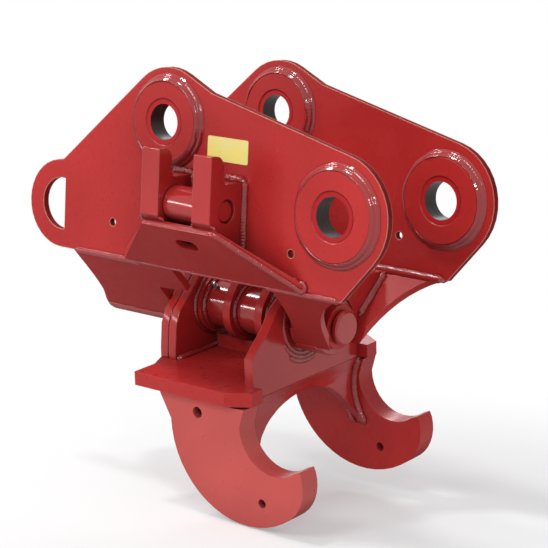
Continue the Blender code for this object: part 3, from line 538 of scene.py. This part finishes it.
def straight(start, end, a, b):
    """Straight corner from start to end, with legs along a and b."""
    a = Vector(a)
    b = Vector(b)
    return [(Vector(start), a, b), (Vector(end), a, b)]


def circle(centre, radius, axis, toward, start=0.0, end=360.0):
    """Round corner about an axis: one leg along the radius, the other along the axis."""
    u = {"X": Vector((0, 1, 0)), "Y": Vector((1, 0, 0))}[axis]
    v = Vector((0, 0, 1))
    along = {"X": Vector((1, 0, 0)), "Y": Vector((0, 1, 0))}[axis] * toward
    closed = end - start >= 360
    made = []
    for i in range(RING_STEPS if closed else RING_STEPS + 1):
        angle = radians(start + (end - start) * i / RING_STEPS)
        out = u * cos(angle) + v * sin(angle)
        made.append((Vector(centre) + out * radius, out, along.copy()))
    return made


def ridge(points, across, out):
    """Stations of a bead laid over a flush seam or an edge: it spreads along across."""
    across = Vector(across)
    out = Vector(out)
    return [(Vector(p), across - out * 0.2, -across - out * 0.2) for p in points]


def boss_welds():
    """Fillets round both faces of every through boss."""
    for pin, x, z, radius in BOSSES:
        for label, side in (("near", -1), ("far", 1)):
            faces = (("outer", side * PLATE_OUTER, side), ("inner", side * PLATE_INNER, -side))
            for face, y, toward in faces:
                bead("weld_%s_boss_%s_%s" % (pin, label, face),
                     circle((x, y, z), radius, "Y", toward), leg=0.0125, crown=0.0002,
                     closed=True, seed=x + y + z + 3, ripple=0.00035, lanes=2, points=13)


def flank_corner():
    """Where a flank's lines run, in (distance out from the middle, z)."""
    top = Vector((PLATE_OUTER, PLATE_BOTTOM))
    away = atan2(top.y + PIVOT_DROP, -top.x)
    reach = hypot(top.x, top.y + PIVOT_DROP)
    touch = away + acos(HUB_RADIUS / reach)
    foot = Vector((-HUB_RADIUS * cos(touch), -PIVOT_DROP + HUB_RADIUS * sin(touch)))
    down = (foot - top).normalized()
    inward = Vector((down.y, -down.x))
    if inward.y < 0:
        inward = -inward
    return top, foot, down, inward


def flank_welds():
    """Beads where the sloping flanks meet the side plates and the hubs."""
    top, foot, down, inward = flank_corner()
    back = sqrt(HUB_RADIUS ** 2 - (HUB_RADIUS - FLANK_THICKNESS) ** 2)
    meet = foot - down * back + inward * FLANK_THICKNESS
    out = (meet - Vector((0, -PIVOT_DROP))).normalized()
    tangent = Vector((out.y, -out.x))
    if tangent.y < 0:
        tangent = -tangent
    corner = Vector((PLATE_INNER, PLATE_BOTTOM))
    into_corner = (down * 0.8 + Vector((-0.4, 0.15))).normalized()
    runs = (("front", FRONT_FLANK, FRONT_HUB), ("rear", REAR_FLANK, REAR_HUB))
    for end, (low, high), hub in runs:
        hub_low = hub[0] + HUB_INSET
        hub_high = hub[1] - HUB_INSET
        for label, side in (("near", -1), ("far", 1)):
            def place(p, x):
                return Vector((x, side * p.x, p.y))

            def way(p):
                return Vector((0, side * p.x, p.y))

            bead("weld_%s_flank_%s_out" % (end, label),
                 straight(place(top, low), place(top, high), (0, 0, 1), way(down)),
                 leg=0.008, crown=0.0020, over=True, seed=low + side)
            bead("weld_%s_flank_%s_in" % (end, label),
                 straight(place(corner, low), place(corner, high), (0, 0, 1), way(into_corner)),
                 leg=0.010, crown=0.0018, seed=high + side)
            bead("weld_%s_hub_%s" % (end, label),
                 straight(place(meet, hub_low), place(meet, hub_high), way(-down), way(tangent)),
                 leg=0.009, crown=0.0015, seed=hub[0] * side)
            bead("weld_%s_foot_%s" % (end, label),
                 straight(place(foot, hub_low), place(foot, hub_high), way(-down),
                          way(Vector((-1.0, 0.0)))),
                 leg=0.008, crown=0.0022, over=True, seed=hub[1] * side)


def cross_plate_welds():
    """Fillets of the upright plate on the front flanks and on the hub."""
    top, foot, down, inward = flank_corner()
    head = top + Vector((-FLANK_THICKNESS / abs(down.y), 0))
    low = head + down * ((foot - top).length - CROSS_STOP)
    for label, side in (("near", -1), ("far", 1)):
        for face, x, toward in (("back", CROSS_PLATE[0], -1), ("front", CROSS_PLATE[1], 1)):
            seam = [(Vector((x, side * p.x, p.y)), Vector((toward, 0, 0)),
                     Vector((0, side * inward.x, inward.y)))
                    for p in (head + down * CROSS_START, low)]
            bead("weld_cross_%s_%s" % (face, label), seam, leg=0.009, crown=0.0016, seed=x + side)
    hub = circle((CROSS_PLATE[0], 0, -PIVOT_DROP), HUB_RADIUS, "X", -1, start=48, end=132)
    bead("weld_cross_hub", hub, leg=0.007, seed=3.7)


def lug_welds():
    """Fillets of the cylinder's lugs on the near plate and on the pocket plate."""
    slope = Vector((0, -POCKET_RUN, POCKET_RISE)).normalized()
    square = Vector((0, slope.z, -slope.y))
    if square.z < 0:
        square = -square
    lift = POCKET_THICKNESS * hypot(1, POCKET_RISE / POCKET_RUN)
    for index, x in enumerate(LUG_FACES):
        side = -1 if index % 2 == 0 else 1
        foot = Vector((x, -PLATE_OUTER, PLATE_BOTTOM + lift))
        head = Vector((x, -PLATE_OUTER, LUG_SHOULDER + 0.003))
        bead("weld_lug_root_%d" % index, straight(foot, head, (side, 0, 0), (0, -1, 0)),
             leg=0.008, seed=index)
        end = foot + slope * hypot(POCKET_RUN, POCKET_RISE) * 0.97
        bead("weld_lug_foot_%d" % index, straight(foot, end, (side, 0, 0), square),
             leg=0.007, seed=index + 9)
    for index, (low, high) in enumerate((LUG_FACES[:2], LUG_FACES[2:])):
        bead("weld_lug_head_%d" % index,
             straight((low - 0.004, -PLATE_OUTER, LUG_SHOULDER),
                      (high + 0.004, -PLATE_OUTER, LUG_SHOULDER), (0, 0, 1), (0, -1, 0)),
             leg=0.010, crown=0.003, seed=index + 15, pitch=0.007, ripple=0.0024)
    spans = ((POCKET_FOOT[0] + 0.02, LUG_FACES[0]), (LUG_FACES[1], LUG_FACES[2]),
             (LUG_FACES[3], POCKET_FOOT[1] - 0.01))
    for index, (low, high) in enumerate(spans):
        bead("weld_pocket_root_%d" % index,
             straight((low, -PLATE_OUTER, PLATE_BOTTOM + lift),
                      (high, -PLATE_OUTER, PLATE_BOTTOM + lift), (0, 0, 1), slope),
             leg=0.009, seed=index + 20)
    bottom = straight((POCKET_FOOT[0], -PLATE_OUTER, PLATE_BOTTOM),
                      (POCKET_FOOT[1], -PLATE_OUTER, PLATE_BOTTOM), (0, 1, 0), slope)
    bead("weld_pocket_bottom", bottom, leg=0.004, crown=0.0008, over=True, seed=31)
    inward = square * POCKET_THICKNESS / 2
    base = Vector((POCKET_FOOT[1], -PLATE_OUTER - 0.004, PLATE_BOTTOM)) + inward
    tip = Vector((POCKET_TOP[1], LUG_END, PLATE_BOTTOM + POCKET_RISE)) + inward
    rear = Vector((POCKET_TOP[0], LUG_END, PLATE_BOTTOM + POCKET_RISE)) + inward
    away = (base - tip).cross(square)
    if away.x < 0:
        away = -away
    bead("weld_pocket_edge", ridge((base, tip), square, away.normalized()),
         leg=0.0066, crown=0.0022, over=True, seed=33, ripple=0.0012)
    bead("weld_pocket_rim", ridge((tip, rear), square, slope),
         leg=0.0062, crown=0.0016, over=True, seed=34, ripple=0.0012)
    blob = (POCKET_FOOT[1] - 0.006, -PLATE_OUTER, PLATE_BOTTOM + 0.013)
    bead("weld_pocket_end", circle(blob, 0.0055, "Y", -1),
         leg=0.0055, crown=0.0014, closed=True, seed=35)


def hook_frame_welds():
    """Beads on the hooks, the shelf, the bulkheads, the web and the hub tube."""
    for label, side in (("near", -1), ("far", 1)):
        y = side * HOOK_INNER
        hook_bead("weld_hook_%s_shelf" % label,
                  straight((HOOK_SEAM[0], y, SHELF_BOTTOM), (HOOK_SEAM[1], y, SHELF_BOTTOM),
                           (0, -side, 0), (0, 0, -1)), leg=0.011, seed=side + 40)
        lowest = ARCH_Z + sqrt(ARCH_RADIUS ** 2 - HOOK_INNER ** 2)
        centre = Vector((WEB_CENTRE[0], y, WEB_CENTRE[1]))
        arcs = (("front", WEB_RADIUS, -1), ("back", WEB_RADIUS + WEB_THICKNESS, 1))
        for face, radius, out in arcs:
            start = 180 - degrees(asin((SHELF_BOTTOM - WEB_CENTRE[1]) / radius))
            end = 180 + degrees(asin((WEB_CENTRE[1] - lowest) / radius))
            path = []
            for i in range(WEB_STEPS + 1):
                angle = radians(start + (end - start) * i / WEB_STEPS)
                away = Vector((cos(angle), 0, sin(angle)))
                path.append((centre + away * radius, Vector((0, -side, 0)), away * out))
            hook_bead("weld_web_%s_%s" % (label, face), path, leg=0.009, crown=0.0016,
                      seed=side + radius)
    lift = Vector((0.2, 0, 0))
    passes = (("face", 0.056, 0, 360), ("pass_1", 0.0635, 205, 335), ("pass_2", 0.0705, 228, 302))
    for index, (label, radius, start, end) in enumerate(passes):
        swirl = [(p, out - lift, -out - lift)
                 for p, out, along in circle((FRONT_BULKHEAD[1], 0, 0), radius, "X", 1,
                                             start=start, end=end)]
        hook_bead("weld_tube_" + label, swirl, leg=0.0058, crown=0.0014,
                  closed=end - start == 360, over=True, seed=52 + index)
    feet = (("rear", REAR_BULKHEAD[1], 1, REAR_FOOT), ("front", FRONT_BULKHEAD[0], -1, FRONT_FOOT))
    for label, x, toward, reach in feet:
        hook_bead("weld_bulkhead_foot_" + label,
                  straight((x, -reach, SHELF_TOP), (x, reach, SHELF_TOP),
                           (toward, 0, 0), (0, 0, 1)), seed=x)
    rings = [("bulkhead_front", FRONT_BULKHEAD[0], TUBE_RADIUS, -1, 0.006),
             ("collar_rear", COLLAR[0], COLLAR_RADIUS, 1, 0.005),
             ("collar_front", COLLAR[1], TUBE_RADIUS, 1, 0.006)]
    for index, x in enumerate(CRANK_FACES):
        rings.append(("crank_%d" % index, x, TUBE_RADIUS, 1 if index % 2 else -1, 0.006))
    for label, x, radius, toward, leg in rings:
        hook_bead("weld_tube_" + label, circle((x, 0, 0), radius, "X", toward), leg=leg,
                  crown=0.0008, closed=True, seed=x)


def patch():
    """Blank yellow film on the near plate's outer face."""
    (left, right), (bottom, top) = PATCH_X, PATCH_Z
    outline = []
    corners = ((right, top, 0), (left, top, 90), (left, bottom, 180), (right, bottom, 270))
    for x, z, start in corners:
        cx = x - PATCH_ROUND if start in (0, 270) else x + PATCH_ROUND
        cz = z - PATCH_ROUND if start in (0, 90) else z + PATCH_ROUND
        for i in range(5):
            angle = radians(start + 22.5 * i)
            outline.append((cx + PATCH_ROUND * cos(angle), cz + PATCH_ROUND * sin(angle)))
    builder = bmesh.new()
    back = [builder.verts.new((x, -PLATE_OUTER + FILM_BACK, z)) for x, z in outline]
    front = [builder.verts.new((x, -PLATE_OUTER - FILM_FRONT, z)) for x, z in outline]
    builder.faces.new(back)
    builder.faces.new(front)
    for i in range(len(outline)):
        j = (i + 1) % len(outline)
        builder.faces.new((back[i], back[j], front[j], front[i]))
    finish_piece("blank_patch", builder, "film", "upper_frame", smooth=False)


def camera():
    fwd = Vector((-sin(AZIMUTH) * cos(ELEVATION), cos(AZIMUTH) * cos(ELEVATION), -sin(ELEVATION)))
    level = Vector((cos(AZIMUTH), sin(AZIMUTH), 0))
    upright = level.cross(fwd)
    right = level * cos(ROLL) + upright * sin(ROLL)
    up = upright * cos(ROLL) - level * sin(ROLL)
    data = bpy.data.cameras.new("camera")
    data.sensor_width = SENSOR
    data.lens = FOCAL_PIXELS / IMAGE_SIZE * SENSOR
    data.clip_end = CLIP_END
    obj = added("camera", data)
    axes = Matrix((right, up, -fwd)).transposed().to_4x4()
    place = -(right * SHIFT_RIGHT + up * SHIFT_UP + fwd * DISTANCE)
    obj.matrix_world = Matrix.Translation(place) @ axes
    bpy.context.scene.camera = obj


def area(name, place, size, power):
    """Rectangular lamp aimed at the middle of the object."""
    data = bpy.data.lights.new(name, "AREA")
    data.shape = "RECTANGLE"
    data.size = size[0]
    data.size_y = size[1]
    data.energy = power
    obj = added(name, data)
    obj.location = place
    aim = Vector(LAMP_TARGET) - Vector(place)
    obj.rotation_euler = aim.to_track_quat("-Z", "Y").to_euler()


def floor_paper():
    """Pale paper that keeps the shadow near the object and runs out to white."""
    t = Tree("floor_pale")
    t.shader.inputs["Base Color"].default_value = (FLOOR_GREY, FLOOR_GREY, FLOOR_GREY, 1)
    t.shader.inputs["Roughness"].default_value = 0.9
    t.shader.inputs["Specular IOR Level"].default_value = 0.1
    reach = t.node("VectorMath", operation="LENGTH")
    t.link(t.coords, reach.inputs[0])
    fade = t.span(reach.outputs["Value"], FLOOR_NEAR, FLOOR_FAR, FLOOR_WHITE_NEAR,
                  interpolation_type="SMOOTHSTEP")
    white = t.node("Emission")
    white.inputs["Strength"].default_value = 1.0
    mix = t.node("MixShader")
    t.link(fade, mix.inputs[0])
    t.link(t.shader.outputs[0], mix.inputs[1])
    t.link(white.outputs[0], mix.inputs[2])
    t.link(shown_white(t.tree, t.shader.outputs[0], mix.outputs[0]),
           t.tree.nodes["Material Output"].inputs["Surface"])
    return t.material


def shown_white(tree, plain, white):
    """White to the camera, to mirrors and to glass, and plain to everything else."""
    path = tree.nodes.new("ShaderNodeLightPath")
    first = tree.nodes.new("ShaderNodeMath")
    first.operation = "MAXIMUM"
    second = tree.nodes.new("ShaderNodeMath")
    second.operation = "MAXIMUM"
    tree.links.new(path.outputs["Is Camera Ray"], first.inputs[0])
    tree.links.new(path.outputs["Is Glossy Ray"], first.inputs[1])
    tree.links.new(first.outputs[0], second.inputs[0])
    tree.links.new(path.outputs["Is Transmission Ray"], second.inputs[1])
    mix = tree.nodes.new("ShaderNodeMixShader")
    tree.links.new(second.outputs[0], mix.inputs[0])
    tree.links.new(plain, mix.inputs[1])
    tree.links.new(white, mix.inputs[2])
    return mix.outputs[0]


def stage():
    """Floor, world and lamps."""
    builder = bmesh.new()
    bmesh.ops.create_grid(builder, x_segments=1, y_segments=1, size=FLOOR_HALF)
    mesh = bpy.data.meshes.new("floor")
    builder.to_mesh(mesh)
    builder.free()
    floor = added("floor", mesh)
    floor.location = (0, 0, cad_box[0].z - FLOOR_DROP)
    mesh.materials.append(floor_paper())
    world = bpy.data.worlds.new("studio")
    world.use_nodes = True
    bpy.context.scene.world = world
    tree = world.node_tree
    tree.nodes.clear()
    soft = tree.nodes.new("ShaderNodeBackground")
    soft.inputs["Color"].default_value = (0.95, 0.97, 1.0, 1)
    soft.inputs["Strength"].default_value = WORLD_LIGHT
    white = tree.nodes.new("ShaderNodeBackground")
    white.inputs["Color"].default_value = (1, 1, 1, 1)
    white.inputs["Strength"].default_value = 1.0
    out = tree.nodes.new("ShaderNodeOutputWorld")
    tree.links.new(shown_white(tree, soft.outputs[0], white.outputs[0]), out.inputs[0])
    for lamp in LAMPS:
        area(*lamp)


boss_welds()
flank_welds()
cross_plate_welds()
lug_welds()
hook_frame_welds()
patch()
camera()
stage()
bpy.context.scene.view_settings.view_transform = "Standard"
